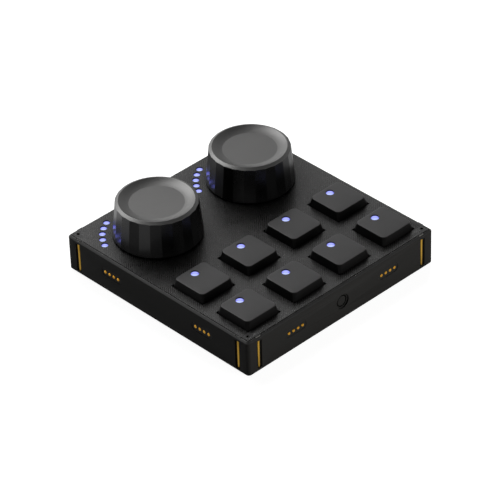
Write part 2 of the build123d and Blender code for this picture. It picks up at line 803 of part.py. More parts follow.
# Keys: for each place a switch on the board, its stem, the cap and the cap's lamp window
cap_top_width = cap_width - cap_narrowing
cap_top_depth = cap_depth - cap_narrowing
roof_share = (cap_ceiling - cap_bottom) / (key_top - cap_bottom)
room_narrowing = 2 * cap_wall + cap_narrowing * roof_share
cover_height = switch_height - switch_base_height - switch_flange_height
cover_taper = degrees(atan2(switch_narrowing / 2, cover_height))
foot_top = switch_top - switch_lip - stop_gap
foot_bottom = foot_top - stem_foot_height
window_top = key_top - window_recess
for number, (x, y) in enumerate(key_places, start=1):
    with BuildPart() as key_switch:
        with BuildSketch(Plane((x, y, board_top))):
            Rectangle(switch_width, switch_width)
        extrude(amount=switch_base_height)
        with BuildSketch(Plane((x, y, board_top + switch_base_height))):
            Rectangle(switch_flange, switch_flange)
        extrude(amount=switch_flange_height)
        with BuildSketch(Plane((x, y, switch_flange_top))):
            Rectangle(switch_width, switch_width)
        extrude(amount=cover_height, taper=cover_taper)
        with BuildSketch(Plane((x, y, board_top))):
            Circle(peg_width / 2)
            with GridLocations(side_peg_spacing, 1, 2, 1):
                Circle(side_peg_width / 2)
        extrude(amount=-peg_length)
        # Room for the stem and its foot, and the well for the lamp
        with BuildSketch(Plane((x, y, switch_top))):
            Rectangle(stem_width + 2 * run_gap, stem_depth + 2 * run_gap)
        extrude(amount=switch_floor - switch_height, mode=Mode.SUBTRACT)
        with BuildSketch(Plane((x, y, switch_top - switch_lip))):
            Rectangle(
                stem_width + 2 * stem_foot_reach + 2 * run_gap,
                stem_depth + 2 * stem_foot_reach + 2 * run_gap,
            )
        extrude(amount=switch_floor + switch_lip - switch_height, mode=Mode.SUBTRACT)
        with BuildSketch(Plane((x, y + window_offset, board_top))):
            Rectangle(light_well, light_well)
        extrude(amount=switch_height, mode=Mode.SUBTRACT)
    save(key_switch, f"key_{number}_switch")

    with BuildPart() as key_stem:
        with BuildSketch(Plane((x, y, foot_bottom))):
            Rectangle(stem_width + 2 * stem_foot_reach, stem_depth + 2 * stem_foot_reach)
        extrude(amount=stem_foot_height)
        with BuildSketch(Plane((x, y, foot_bottom))):
            Rectangle(stem_width, stem_depth)
        extrude(amount=stem_top - foot_bottom)
        with BuildSketch(Plane((x, y, stem_top))):
            with GridLocations(prong_spacing, 1, 2, 1):
                Rectangle(prong_width + 2 * slip_gap, prong_depth + 2 * slip_gap)
        extrude(amount=-(prong_length + stop_gap), mode=Mode.SUBTRACT)
    save(key_stem, f"key_{number}_stem")

    with BuildPart() as key_cap:
        with BuildSketch(Plane((x, y, cap_bottom))):
            RectangleRounded(cap_width, cap_depth, cap_corner)
        with BuildSketch(Plane((x, y, key_top))):
            RectangleRounded(cap_top_width, cap_top_depth, cap_corner)
        loft()
        fillet(key_cap.faces().sort_by(Axis.Z)[-1].edges(), radius=cap_edge)
        with BuildSketch(Plane((x, y, cap_bottom))):
            Rectangle(cap_width - 2 * cap_wall, cap_depth - 2 * cap_wall)
        with BuildSketch(Plane((x, y, cap_ceiling))):
            Rectangle(cap_width - room_narrowing, cap_depth - room_narrowing)
        loft(mode=Mode.SUBTRACT)
        # Boss on the stem, with two prongs in the stem's slots
        with BuildSketch(Plane((x, y, cap_ceiling))):
            Rectangle(stem_width, stem_depth)
        extrude(amount=-cap_boss_height)
        with BuildSketch(Plane((x, y, stem_top))):
            with GridLocations(prong_spacing, 1, 2, 1):
                Rectangle(prong_width, prong_depth)
        extrude(amount=-prong_length)
        with BuildSketch(Plane((x, y + window_offset, cap_ceiling))):
            Circle(window_width / 2)
        extrude(amount=cap_roof, mode=Mode.SUBTRACT)
    save(key_cap, f"key_{number}_cap")

    with BuildPart() as key_window:
        with BuildSketch(Plane((x, y + window_offset, cap_ceiling))):
            Circle(window_flange / 2)
        extrude(amount=-flange_thickness)
        with BuildSketch(Plane((x, y + window_offset, cap_ceiling))):
            Circle(window_width / 2 - slip_gap)
        extrude(amount=window_top - cap_ceiling)
    save(key_window, f"key_{number}_window")
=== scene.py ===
import json
import math

import bpy
from mathutils import Matrix, Vector


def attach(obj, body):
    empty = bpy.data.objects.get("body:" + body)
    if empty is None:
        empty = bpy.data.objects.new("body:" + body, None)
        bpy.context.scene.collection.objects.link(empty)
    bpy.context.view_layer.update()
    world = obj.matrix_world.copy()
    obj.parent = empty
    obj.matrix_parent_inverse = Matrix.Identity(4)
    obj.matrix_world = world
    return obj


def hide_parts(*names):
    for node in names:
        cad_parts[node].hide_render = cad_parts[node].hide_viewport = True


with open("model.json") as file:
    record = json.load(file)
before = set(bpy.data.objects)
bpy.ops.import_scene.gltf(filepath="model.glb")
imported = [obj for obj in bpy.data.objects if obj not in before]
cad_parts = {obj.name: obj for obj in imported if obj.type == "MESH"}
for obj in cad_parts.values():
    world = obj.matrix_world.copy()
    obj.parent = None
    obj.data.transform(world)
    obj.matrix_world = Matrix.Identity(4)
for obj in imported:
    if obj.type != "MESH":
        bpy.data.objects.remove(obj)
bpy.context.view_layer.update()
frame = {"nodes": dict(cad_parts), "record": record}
cadNodes = frame["nodes"]
bodyOf = {n: b for b, names in frame["record"]["behaviour"]["bodies"].items() for n in names}
slotOf = {p["node"]: p["material_slot"] for p in frame["record"]["subparts"]}
print("frame loaded:", len(cadNodes), "nodes")

mm = 0.001

# Plan of the controller in millimetres, as the solids have it
plan = {
    "caseHalf": 53.0,
    "dialReach": 26.5,
    "keyColumns": (-38.655, -12.885, 12.885, 38.655),
    "keyRows": (-12.885, -38.655),
    "lampRing": 23.0,
    "lampAngles": (115, 125, 135, 145, 155),
}
dialCentres = {
    "left": (-plan["dialReach"], plan["dialReach"]),
    "right": (plan["dialReach"], plan["dialReach"]),
}
keyCentres = [(x, y) for y in plan["keyRows"] for x in plan["keyColumns"]]


# Short ways to write shader nodes
def newMaterial(name):
    material = bpy.data.materials.new(name)
    material.use_nodes = True
    material.node_tree.nodes.clear()
    return material


def plug(tree, value, socket):
    if isinstance(value, bpy.types.NodeSocket):
        tree.links.new(value, socket)
    else:
        socket.default_value = value


def addNode(tree, kind, inputs=None, **settings):
    node = tree.nodes.new(kind)
    for key, value in settings.items():
        setattr(node, key, value)
    for key, value in (inputs or {}).items():
        plug(tree, value, node.inputs[key])
    return node


def maths(tree, operation, *values, clamp=False):
    node = addNode(tree, "ShaderNodeMath", operation=operation, use_clamp=clamp)
    for n, value in enumerate(values):
        plug(tree, value, node.inputs[n])
    return node.outputs[0]


def mixColour(tree, factor, first, second, blend="MIX"):
    node = addNode(tree, "ShaderNodeMix", data_type="RGBA", blend_type=blend)
    for index, value in ((0, factor), (6, first), (7, second)):
        plug(tree, value, node.inputs[index])
    return node.outputs[2]


def spread(tree, value, low, high, toLow=0.0, toHigh=1.0):
    node = addNode(tree, "ShaderNodeMapRange", clamp=True)
    for index, number in enumerate((value, low, high, toLow, toHigh)):
        plug(tree, number, node.inputs[index])
    return node.outputs[0]


def colour(*values):
    return (*values, 1.0)


def showShader(tree, shader):
    out = addNode(tree, "ShaderNodeOutputMaterial")
    tree.links.new(shader.outputs[0], out.inputs["Surface"])


# One where the camera or a mirror looks, through clear pieces too
def directView(tree, path):
    seen = maths(tree, "MAXIMUM", path["Is Camera Ray"], path["Is Glossy Ray"])
    return maths(tree, "MAXIMUM", seen, path["Is Transmission Ray"])


# A group of nodes with number inputs, and its own input and output sockets
def newGroup(name, ins, outs):
    tree = bpy.data.node_groups.new(name, "ShaderNodeTree")
    for label, value in ins.items():
        socket = tree.interface.new_socket(label, in_out="INPUT", socket_type="NodeSocketFloat")
        socket.default_value = value
    for label, kind in outs.items():
        tree.interface.new_socket(label, in_out="OUTPUT", socket_type="NodeSocket" + kind)
    return tree, tree.nodes.new("NodeGroupInput").outputs, tree.nodes.new("NodeGroupOutput").inputs


def useGroup(tree, group, **values):
    node = tree.nodes.new("ShaderNodeGroup")
    node.node_tree = group
    for label, value in values.items():
        plug(tree, value, node.inputs[label])
    return node.outputs


# Fine grain of a moulded or sprayed skin, with a slow change of shade under it
def makeGrain():
    tree, ins, outs = newGroup(
        "skinGrain", {"Size": 0.25, "Patch": 18.0}, {"Shade": "Float", "Height": "Float"}
    )
    place = addNode(tree, "ShaderNodeTexCoord").outputs["Object"]
    fineScale = maths(tree, "DIVIDE", 1000.0, ins["Size"])
    slowScale = maths(tree, "DIVIDE", 1000.0, ins["Patch"])
    fine = addNode(tree, "ShaderNodeTexNoise", {"Vector": place, "Scale": fineScale, "Detail": 3.0})
    slow = addNode(tree, "ShaderNodeTexNoise", {"Vector": place, "Scale": slowScale, "Detail": 4.0})
    fineShare = maths(tree, "MULTIPLY", fine.outputs[0], 0.45)
    tree.links.new(maths(tree, "MULTIPLY_ADD", slow.outputs[0], 0.55, fineShare), outs["Shade"])
    tree.links.new(fine.outputs[0], outs["Height"])
    return tree


# Worn edges: where a rounded normal leaves the flat one, broken up by noise
def makeEdgeWear():
    tree, ins, outs = newGroup(
        "edgeWear", {"Width": 0.25, "Strength": 6.0}, {"Mask": "Float", "Normal": "Vector"}
    )
    place = addNode(tree, "ShaderNodeTexCoord").outputs["Object"]
    width = maths(tree, "MULTIPLY", ins["Width"], mm)
    rounded = addNode(tree, "ShaderNodeBevel", {"Radius": width}, samples=4).outputs[0]
    flat = addNode(tree, "ShaderNodeNewGeometry").outputs["Normal"]
    dot = addNode(tree, "ShaderNodeVectorMath", operation="DOT_PRODUCT")
    tree.links.new(rounded, dot.inputs[0])
    tree.links.new(flat, dot.inputs[1])
    away = maths(tree, "SUBTRACT", 1.0, dot.outputs["Value"])
    noise = addNode(tree, "ShaderNodeTexNoise", {"Vector": place, "Scale": 900.0, "Detail": 5.0})
    broken = spread(tree, noise.outputs[0], 0.3, 0.65, 0.35, 1.0)
    strong = maths(tree, "MULTIPLY", away, ins["Strength"], clamp=True)
    tree.links.new(maths(tree, "MULTIPLY", strong, broken), outs["Mask"])
    tree.links.new(rounded, outs["Normal"])
    return tree


# Plain weave in the plane of the plate: two sets of threads that pass over and under
def makeWeave():
    tree, ins, outs = newGroup("plainWeave", {"Pitch": 0.75}, {"Shade": "Float", "Height": "Float"})
    place = addNode(tree, "ShaderNodeTexCoord").outputs["Object"]
    axes = addNode(tree, "ShaderNodeSeparateXYZ", {"Vector": place}).outputs
    turns = maths(tree, "DIVIDE", math.pi * 1000, ins["Pitch"])
    across = maths(tree, "SINE", maths(tree, "MULTIPLY", axes["X"], turns))
    along = maths(tree, "SINE", maths(tree, "MULTIPLY", axes["Y"], turns))
    sameWay = maths(tree, "GREATER_THAN", maths(tree, "MULTIPLY", across, along), 0.0)
    acrossThread = maths(tree, "ABSOLUTE", across)
    alongThread = maths(tree, "ABSOLUTE", along)
    over = maths(tree, "MULTIPLY", sameWay, acrossThread)
    under = maths(tree, "MULTIPLY", maths(tree, "SUBTRACT", 1.0, sameWay), alongThread)
    height = maths(tree, "ADD", over, under)
    stretch = addNode(tree, "ShaderNodeTexNoise", {"Vector": place, "Scale": 260.0, "Detail": 3.0})
    # Threads running one way are painted lighter than those across them, a painted sheen
    threads = maths(tree, "MULTIPLY_ADD", sameWay, 0.32, maths(tree, "MULTIPLY", height, 0.22))
    shade = maths(tree, "MULTIPLY_ADD", stretch.outputs[0], 0.5, threads)
    tree.links.new(shade, outs["Shade"])
    tree.links.new(height, outs["Height"])
    return tree


# Rings that a lathe leaves round a dial's own axis
def makeTurned():
    tree, ins, outs = newGroup(
        "turnedRings", {"Pitch": 0.12}, {"Shade": "Float", "Height": "Float"}
    )
    place = addNode(tree, "ShaderNodeTexCoord").outputs["Object"]
    axes = addNode(tree, "ShaderNodeSeparateXYZ", {"Vector": place}).outputs
    reach = plan["dialReach"] * mm
    x = maths(tree, "SUBTRACT", maths(tree, "ABSOLUTE", axes["X"]), reach)
    y = maths(tree, "SUBTRACT", axes["Y"], reach)
    squares = maths(tree, "ADD", maths(tree, "MULTIPLY", x, x), maths(tree, "MULTIPLY", y, y))
    radius = maths(tree, "SQRT", squares)
    steps = maths(tree, "MULTIPLY", radius, maths(tree, "DIVIDE", 1000.0, ins["Pitch"]))
    rings = addNode(
        tree,
        "ShaderNodeTexNoise",
        {"W": steps, "Scale": 1.0, "Detail": 2.0},
        noise_dimensions="1D",
    )
    slow = addNode(tree, "ShaderNodeTexNoise", {"Vector": place, "Scale": 90.0, "Detail": 4.0})
    ringShare = maths(tree, "MULTIPLY", rings.outputs[0], 0.6)
    tree.links.new(maths(tree, "MULTIPLY_ADD", slow.outputs[0], 0.4, ringShare), outs["Shade"])
    tree.links.new(rings.outputs[0], outs["Height"])
    return tree


grain = makeGrain()
edgeWear = makeEdgeWear()
weave = makeWeave()
turned = makeTurned()
print("shader groups made")


# One finish: a pattern moves its shade, gloss and relief, wear lightens its edges, and a painted
# shade may darken its recesses and next to other parts, and on the laminate dim its gloss there too
def dressMaterial(name, finish):
    material = newMaterial(name)
    tree = material.node_tree
    pattern = useGroup(tree, finish["pattern"], **finish["patternSizes"])
    shade = spread(tree, pattern["Shade"], 0.3, 0.7)
    base = mixColour(tree, shade, colour(*finish["dark"]), colour(*finish["light"]))
    wear = useGroup(tree, edgeWear, Width=finish["edge"], Strength=finish["wear"])
    base = mixColour(tree, wear["Mask"], base, colour(*finish["worn"]))
    relief = addNode(
        tree,
        "ShaderNodeBump",
        {
            "Height": pattern["Height"],
            "Normal": wear["Normal"],
            "Distance": finish["relief"] * mm,
            "Strength": 1.0,
        },
    )
    rough = spread(tree, pattern["Shade"], 0.3, 0.7, *finish["rough"])
    gloss = finish.get("specular", 0.5)
    # Painted shade: an occlusion mask darkens the colour, and may dim the gloss, in recesses and
    # near other parts (clear is one where nothing is near)
    if "paintedHollowShade" in finish:
        hollowShade = finish["paintedHollowShade"]
        distance = hollowShade["reach"] * mm
        around = addNode(tree, "ShaderNodeAmbientOcclusion", {"Distance": distance}, samples=8)
        clear = spread(tree, around.outputs["AO"], *hollowShade["open"], hollowShade["left"], 1.0)
        base = mixColour(tree, clear, colour(0, 0, 0), base)
        if hollowShade["shadesGloss"]:
            gloss = maths(tree, "MULTIPLY", clear, gloss)
    shader = addNode(
        tree,
        "ShaderNodeBsdfPrincipled",
        {
            "Base Color": base,
            "Roughness": rough,
            "Normal": relief.outputs[0],
            "Metallic": finish.get("metallic", 0.0),
            "Specular IOR Level": gloss,
        },
    )
    showShader(tree, shader)
    return material


finishes = {
    "case_plastic": {
        "pattern": grain, "patternSizes": {"Size": 0.3, "Patch": 25.0},
        "dark": (0.0175, 0.0172, 0.0166), "light": (0.0205, 0.0202, 0.0195), "rough": (0.46, 0.54),
        "relief": 0.012, "edge": 0.25, "wear": 2.5, "worn": (0.045, 0.044, 0.043), "specular": 0.06,
        # Painted shade: the colour darkens in its creases, slots and holes
        "paintedHollowShade": {"reach": 0.6, "open": (0.1, 0.97), "left": 0.4, "shadesGloss": False},
    },
    "case_bevel": {
        "pattern": grain, "patternSizes": {"Size": 0.3, "Patch": 25.0},
        "dark": (0.008, 0.0079, 0.0077), "light": (0.013, 0.0128, 0.0125), "rough": (0.3, 0.42),
        "relief": 0.008, "edge": 0.2, "wear": 2.5, "worn": (0.09, 0.088, 0.086), "specular": 0.5,
    },
    "plate_laminate": {
        "pattern": weave, "patternSizes": {"Pitch": 0.56},
        "dark": (0.0012, 0.0011, 0.001), "light": (0.008, 0.0077, 0.0074), "rough": (0.22, 0.36),
        "relief": 0.018, "edge": 0.12, "wear": 3.0, "worn": (0.06, 0.06, 0.058), "specular": 0.7,
        # Painted shade round the caps, dials and edges, on its colour and its gloss
        "paintedHollowShade": {"reach": 18.0, "open": (0.4, 0.97), "left": 0.2, "shadesGloss": True},
    },
    "cap_plastic": {
        "pattern": grain, "patternSizes": {"Size": 0.2, "Patch": 9.0},
        "dark": (0.009, 0.0086, 0.0088), "light": (0.015, 0.0144, 0.0147), "rough": (0.3, 0.4),
        "relief": 0.008, "edge": 0.15, "wear": 2.0, "worn": (0.06, 0.058, 0.06), "specular": 0.58,
    },
    # Sides of the caps: the tops' plastic, painted darker and less glossy as shade
    "cap_side_painted_shade": {
        "pattern": grain, "patternSizes": {"Size": 0.2, "Patch": 9.0},
        "dark": (0.002, 0.0019, 0.0019), "light": (0.0035, 0.0033, 0.0034), "rough": (0.34, 0.44),
        "relief": 0.008, "edge": 0.12, "wear": 2.5, "worn": (0.03, 0.029, 0.03), "specular": 0.12,
    },
    "switch_plastic": {
        "pattern": grain, "patternSizes": {"Size": 0.3, "Patch": 8.0},
        "dark": (0.022, 0.022, 0.023), "light": (0.034, 0.034, 0.036), "rough": (0.4, 0.6),
        "relief": 0.01, "edge": 0.15, "wear": 2.0, "worn": (0.06, 0.06, 0.062), "specular": 0.3,
    },
    "stem_plastic": {
        "pattern": grain, "patternSizes": {"Size": 0.4, "Patch": 6.0},
        "dark": (0.38, 0.07, 0.05), "light": (0.5, 0.11, 0.08), "rough": (0.25, 0.4),
        "relief": 0.005, "edge": 0.1, "wear": 1.0, "worn": (0.6, 0.2, 0.16), "specular": 0.45,
    },
    "board_laminate": {
        "pattern": weave, "patternSizes": {"Pitch": 0.5},
        "dark": (0.012, 0.05, 0.028), "light": (0.025, 0.085, 0.048), "rough": (0.2, 0.35),
        "relief": 0.006, "edge": 0.1, "wear": 1.5, "worn": (0.1, 0.12, 0.06), "specular": 0.5,
    },
    "lamp_chip": {
        "pattern": grain, "patternSizes": {"Size": 0.2, "Patch": 2.0},
        "dark": (0.72, 0.71, 0.66), "light": (0.84, 0.83, 0.78), "rough": (0.25, 0.4),
        "relief": 0.003, "edge": 0.05, "wear": 0.5, "worn": (0.9, 0.9, 0.86), "specular": 0.5,
    },
    # Flats of the dials: smoother than the turned top, and painted darker as shade
    "dial_side_painted_shade": {
        "pattern": grain, "patternSizes": {"Size": 0.35, "Patch": 12.0},
        "dark": (0.05, 0.05, 0.0506), "light": (0.066, 0.066, 0.0666), "rough": (0.26, 0.31),
        "relief": 0.001, "edge": 0.1, "wear": 1.2, "worn": (0.2, 0.2, 0.2), "metallic": 1.0,
    },
    "dial_metal": {
        "pattern": turned, "patternSizes": {"Pitch": 0.14},
        "dark": (0.15, 0.1495, 0.1475), "light": (0.175, 0.174, 0.172), "rough": (0.34, 0.44),
        "relief": 0.001, "edge": 0.08, "wear": 1.0, "worn": (0.2, 0.2, 0.195),
        "metallic": 1.0, "specular": 0.5,
    },
    "plain_steel": {
        "pattern": grain, "patternSizes": {"Size": 0.5, "Patch": 5.0},
        "dark": (0.5, 0.5, 0.49), "light": (0.62, 0.62, 0.61), "rough": (0.2, 0.38),
        "relief": 0.003, "edge": 0.08, "wear": 1.0, "worn": (0.75, 0.75, 0.74), "metallic": 1.0,
    },
    "black_steel": {
        "pattern": grain, "patternSizes": {"Size": 0.3, "Patch": 3.0},
        "dark": (0.012, 0.012, 0.012), "light": (0.022, 0.022, 0.022), "rough": (0.3, 0.5),
        "relief": 0.004, "edge": 0.08, "wear": 2.0, "worn": (0.08, 0.08, 0.08), "specular": 0.4,
    },
    "insulator": {
        "pattern": grain, "patternSizes": {"Size": 0.25, "Patch": 8.0},
        "dark": (0.011, 0.0112, 0.0105), "light": (0.016, 0.0162, 0.0152), "rough": (0.4, 0.52),
        "relief": 0.006, "edge": 0.12, "wear": 3.0, "worn": (0.1, 0.1, 0.1), "specular": 0.1,
    },
    # Cut ends of the tabs: bare laminate, and a painted highlight along them
    "laminate_edge_and_highlight": {
        "pattern": grain, "patternSizes": {"Size": 0.15, "Patch": 1.5},
        "dark": (0.09, 0.088, 0.084), "light": (0.2, 0.195, 0.185), "rough": (0.35, 0.5),
        "relief": 0.01, "edge": 0.05, "wear": 0.5, "worn": (0.25, 0.245, 0.23), "specular": 0.5,
    },
    # Near black: painted shade in sockets and narrow gaps
    "socket_painted_shade": {
        "pattern": grain, "patternSizes": {"Size": 0.3, "Patch": 3.0},
        "dark": (0.001, 0.0008, 0.0008), "light": (0.002, 0.0017, 0.0016), "rough": (0.6, 0.8),
        "relief": 0.004, "edge": 0.05, "wear": 0.5, "worn": (0.004, 0.004, 0.004), "specular": 0.05,
    },
    "gold_plate": {
        "pattern": grain, "patternSizes": {"Size": 0.3, "Patch": 2.0},
        "dark": (0.7, 0.33, 0.035), "light": (0.88, 0.48, 0.06), "rough": (0.1, 0.2),
        "relief": 0.002, "edge": 0.1, "wear": 0.8, "worn": (0.75, 0.45, 0.08), "metallic": 1.0,
    },
    "magnet_plate": {
        "pattern": grain, "patternSizes": {"Size": 0.35, "Patch": 6.0},
        "dark": (0.66, 0.38, 0.05), "light": (0.82, 0.5, 0.08), "rough": (0.26, 0.38),
        "relief": 0.003, "edge": 0.1, "wear": 0.8, "worn": (0.65, 0.42, 0.07), "metallic": 1.0,
    },
    "foot_rubber": {
        "pattern": grain, "patternSizes": {"Size": 0.4, "Patch": 5.0},
        "dark": (0.018, 0.018, 0.018), "light": (0.032, 0.032, 0.031), "rough": (0.75, 0.9),
        "relief": 0.02, "edge": 0.2, "wear": 1.5, "worn": (0.06, 0.06, 0.058), "specular": 0.25,
    },
}
materials = {name: dressMaterial(name, finish) for name, finish in finishes.items()}


# Lit lens: two pale lobes with a bluer streak between them, deeper at its ends; rim painted as
# shade
def makeLens(name, settings):
    s = settings
    material = newMaterial(name)
    tree = material.node_tree
    coords = addNode(tree, "ShaderNodeTexCoord").outputs
    axes = addNode(tree, "ShaderNodeSeparateXYZ", {"Vector": coords["UV"]}).outputs
    diagonal = 0.7071
    far = maths(tree, "MULTIPLY", maths(tree, "ADD", axes["X"], axes["Y"]), diagonal)
    side = maths(tree, "MULTIPLY", maths(tree, "SUBTRACT", axes["X"], axes["Y"]), diagonal)
    length = addNode(tree, "ShaderNodeVectorMath", {0: coords["UV"]}, operation="LENGTH")
    reach = length.outputs["Value"]
    noiseInputs = {"Vector": coords["Object"], "Scale": 1500.0, "Detail": 3.0}
    noise = addNode(tree, "ShaderNodeTexNoise", noiseInputs).outputs[0]
    mottle = maths(tree, "MULTIPLY_ADD", noise, s["mottle"], -s["mottle"] / 2)
    place = maths(tree, "ADD", far, mottle)
    off = spread(tree, maths(tree, "ABSOLUTE", place), *s["streakSides"])
    ends = spread(tree, maths(tree, "ABSOLUTE", side), *s["streakEnds"], s["streakMiddle"], 1.0)
    blue = maths(tree, "MULTIPLY", maths(tree, "SUBTRACT", 1.0, off), ends)
    lobes = spread(tree, place, *s["lobes"])
    glow = mixColour(tree, lobes, colour(*s["near"]), colour(*s["far"]))
    glow = mixColour(tree, blue, glow, colour(*s["streak"]))
    # Painted shade: a darker rim, heavier on the far side, and a dark edge, for the recess round
    # the lens
    rim = spread(tree, maths(tree, "MULTIPLY_ADD", far, s["rimShadeLean"], reach), *s["rimShadeFrom"])
    glow = mixColour(tree, rim, glow, colour(*s["rim"]))
    edge = spread(tree, reach, s["edgeShadeFrom"], 1.0)
    glow = mixColour(tree, edge, glow, colour(*s["edge"]))
    shader = addNode(
        tree,
        "ShaderNodeBsdfPrincipled",
        {
            "Base Color": colour(*s["body"]),
            "Roughness": s["rough"],
            "Emission Color": glow,
            "Emission Strength": s["strength"],
        },
    )
    showShader(tree, shader)
    return material


lensSettings = {
    "near": (0.46, 0.55, 1.0),
    "far": (0.38, 0.42, 1.0),
    "lobes": (-0.5, 0.5),
    "mottle": 0.16,
    "streak": (0.14, 0.14, 0.8),
    "streakSides": (0.06, 0.3),
    "streakEnds": (0.2, 0.75),
    "streakMiddle": 0.45,
    # The rim and the edge are painted shade of the recess round the lens
    "rim": (0.05, 0.05, 0.42),
    "rimShadeFrom": (0.72, 1.02),
    "rimShadeLean": 0.14,
    "edge": (0.015, 0.015, 0.09),
    "edgeShadeFrom": 0.88,
    "body": (0.05, 0.05, 0.12),
    "rough": 0.3,
    "strength": 1.0,
}
for name in ("window_lens", "lamp_lens"):
    materials[name] = makeLens(name, lensSettings)

for name, node in cadNodes.items():
    node.data.materials.clear()
    node.data.materials.append(materials[slotOf[name]])
print("materials on all solids")


# A skin of rings: one ring of points is extruded for each step of the section, and every ring
# is then drawn to its own outline. Rings that meet are merged.
def ringSkin(name, outlines, smoothAngle=30):
    count = len(outlines[0])
    bpy.ops.object.select_all(action="DESELECT")
    bpy.ops.mesh.primitive_circle_add(
        vertices=count, radius=0.01, fill_type="NOTHING", calc_uvs=False
    )
    piece = bpy.context.object
    piece.name = piece.data.name = name
    bpy.ops.object.mode_set(mode="EDIT")
    for _ in outlines[1:]:
        bpy.ops.mesh.extrude_region_move(TRANSFORM_OT_translate={"value": (0, 0, mm)})
    bpy.ops.object.mode_set(mode="OBJECT")
    for vertex in piece.data.vertices:
        ring = round(vertex.co.z / mm)
        spoke = round(math.atan2(vertex.co.y, vertex.co.x) * count / math.tau) % count
        vertex.co = Vector(outlines[ring][spoke]) * mm
    bpy.ops.object.mode_set(mode="EDIT")
    bpy.ops.mesh.select_all(action="SELECT")
    bpy.ops.mesh.remove_doubles(threshold=0.000001)
    bpy.ops.mesh.dissolve_degenerate(threshold=0.000001)
    bpy.ops.mesh.normals_make_consistent(inside=False)
    bpy.ops.object.mode_set(mode="OBJECT")
    bpy.ops.object.shade_smooth_by_angle(angle=math.radians(smoothAngle))
    return piece


# Puts a finished piece on its body, in its material, in place of the solids it stands for. A
# finish is named where the piece's own differs from the one that its slot has.
def finishPiece(piece, body, slot, *nodes, finish=None):
    piece.data.materials.clear()
    piece.data.materials.append(materials[finish or slot])
    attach(piece, body)
    if nodes:
        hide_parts(*nodes)


# A second finish on the faces that a test picks
def finishFaces(piece, finish, picked):
    piece.data.materials.append(materials[finish])
    for face in piece.data.polygons:
        if picked(face):
            face.material_index = 1


# How far a face lies from the upright middle, towards the nearest wall, in millimetres
def wallReach(face):
    return max(abs(face.center.x), abs(face.center.y)) / mm


# A copy with its own mesh, moved in plan by millimetres
def copyPiece(piece, name, shift):
    bpy.ops.object.select_all(action="DESELECT")
    copy = piece.copy()
    copy.data = piece.data.copy()
    copy.name = copy.data.name = name
    bpy.context.scene.collection.objects.link(copy)
    copy.data.transform(Matrix.Translation(Vector((*shift, 0)) * mm))
    return copy


def circleOutline(radius, height, count, centre=(0, 0)):
    turns = [math.tau * n / count for n in range(count)]
    x, y = centre
    return [(x + radius * math.cos(t), y + radius * math.sin(t), height) for t in turns]


# A softened corner of a section, from one point past the corner to the next
def roundedCorner(before, corner, after, steps=3):
    points = []
    for n in range(steps + 1):
        t = n / steps
        a, b, c = (1 - t) ** 2, 2 * t * (1 - t), t * t
        points.append(tuple(a * p + b * q + c * r for p, q, r in zip(before, corner, after)))
    return points


# A solid's own mesh as a whole skin: its triangles merged, and flat ones joined to one face
def mergedCopy(node, name):
    bpy.ops.object.select_all(action="DESELECT")
    source = cadNodes[node]
    piece = bpy.data.objects.new(name, source.data.copy())
    piece.data.name = name
    bpy.context.scene.collection.objects.link(piece)
    piece.data.transform(source.matrix_world)
    bpy.context.view_layer.objects.active = piece
    piece.select_set(True)
    bpy.ops.object.mode_set(mode="EDIT")
    bpy.ops.mesh.select_all(action="SELECT")
    bpy.ops.mesh.remove_doubles(threshold=0.000002)
    bpy.ops.mesh.dissolve_limited(angle_limit=math.radians(0.5))
    bpy.ops.object.mode_set(mode="OBJECT")
    return piece


# Softens the sharp edges of a piece and shades what is left of its curves smooth
def softenEdges(piece, width, segments=2):
    bevel = piece.modifiers.new("softEdges", "BEVEL")
    bevel.width = width * mm
    bevel.segments = segments
    bevel.limit_method = "ANGLE"
    bevel.angle_limit = math.radians(38)
    bevel.use_clamp_overlap = True
    bevel.harden_normals = True
    bpy.context.view_layer.objects.active = piece
    bpy.ops.object.shade_smooth_by_angle(angle=math.radians(30))
    bpy.ops.object.modifier_apply(modifier=bevel.name)


caseSettings = {
    "edge": 0.07,
    "bevelFrom": 16.5,
    "bevelTo": 17.6,
    "bevelWidth": 1.15,
    "bevelTilt": 0.3,
}


# Case: matte walls, and a glossier bevel round the top, as its tool left it
def makeCase(settings):
    s = settings
    piece = mergedCopy("case_frame", "caseShell")
    softenEdges(piece, s["edge"])
    finishPiece(piece, "case", "case_plastic", "case_frame")

    def onBevel(face):
        slanted = face.normal.z > s["bevelTilt"]
        level = s["bevelFrom"] * mm < face.center.z < s["bevelTo"] * mm
        return slanted and level and wallReach(face) > plan["caseHalf"] - s["bevelWidth"]

    finishFaces(piece, "case_bevel", onBevel)


makeCase(caseSettings)


plateSettings = {
    "edge": 0.05,
    "tabFrom": 52.2,
    "endTilt": 0.9,
    "sideFrom": 51.6,
    "drawIn": 0.16,
}


# Faceplate: its own skin with broken edges, drawn in a little so that the gap round it shows,
# and with paler cut ends on its eight tabs: bare laminate, painted lighter still as a highlight
def makePlate(settings):
    piece = mergedCopy("faceplate", "facePlate")
    for vertex in piece.data.vertices:
        for axis in (0, 1):
            if settings["sideFrom"] < abs(vertex.co[axis] / mm) < settings["tabFrom"]:
                vertex.co[axis] -= math.copysign(settings["drawIn"] * mm, vertex.co[axis])
    softenEdges(piece, settings["edge"])
    finishPiece(piece, "case", "plate_laminate", "faceplate")

    def onTabEnd(face):
        return wallReach(face) > settings["tabFrom"] and face.normal.z < settings["endTilt"]

    # Paler tab ends: bare laminate and a painted highlight
    finishFaces(piece, "laminate_edge_and_highlight", onTabEnd)


makePlate(plateSettings)


contactSettings = {"edge": 0.12, "noseFrom": 52.5, "noseForward": 0.23}


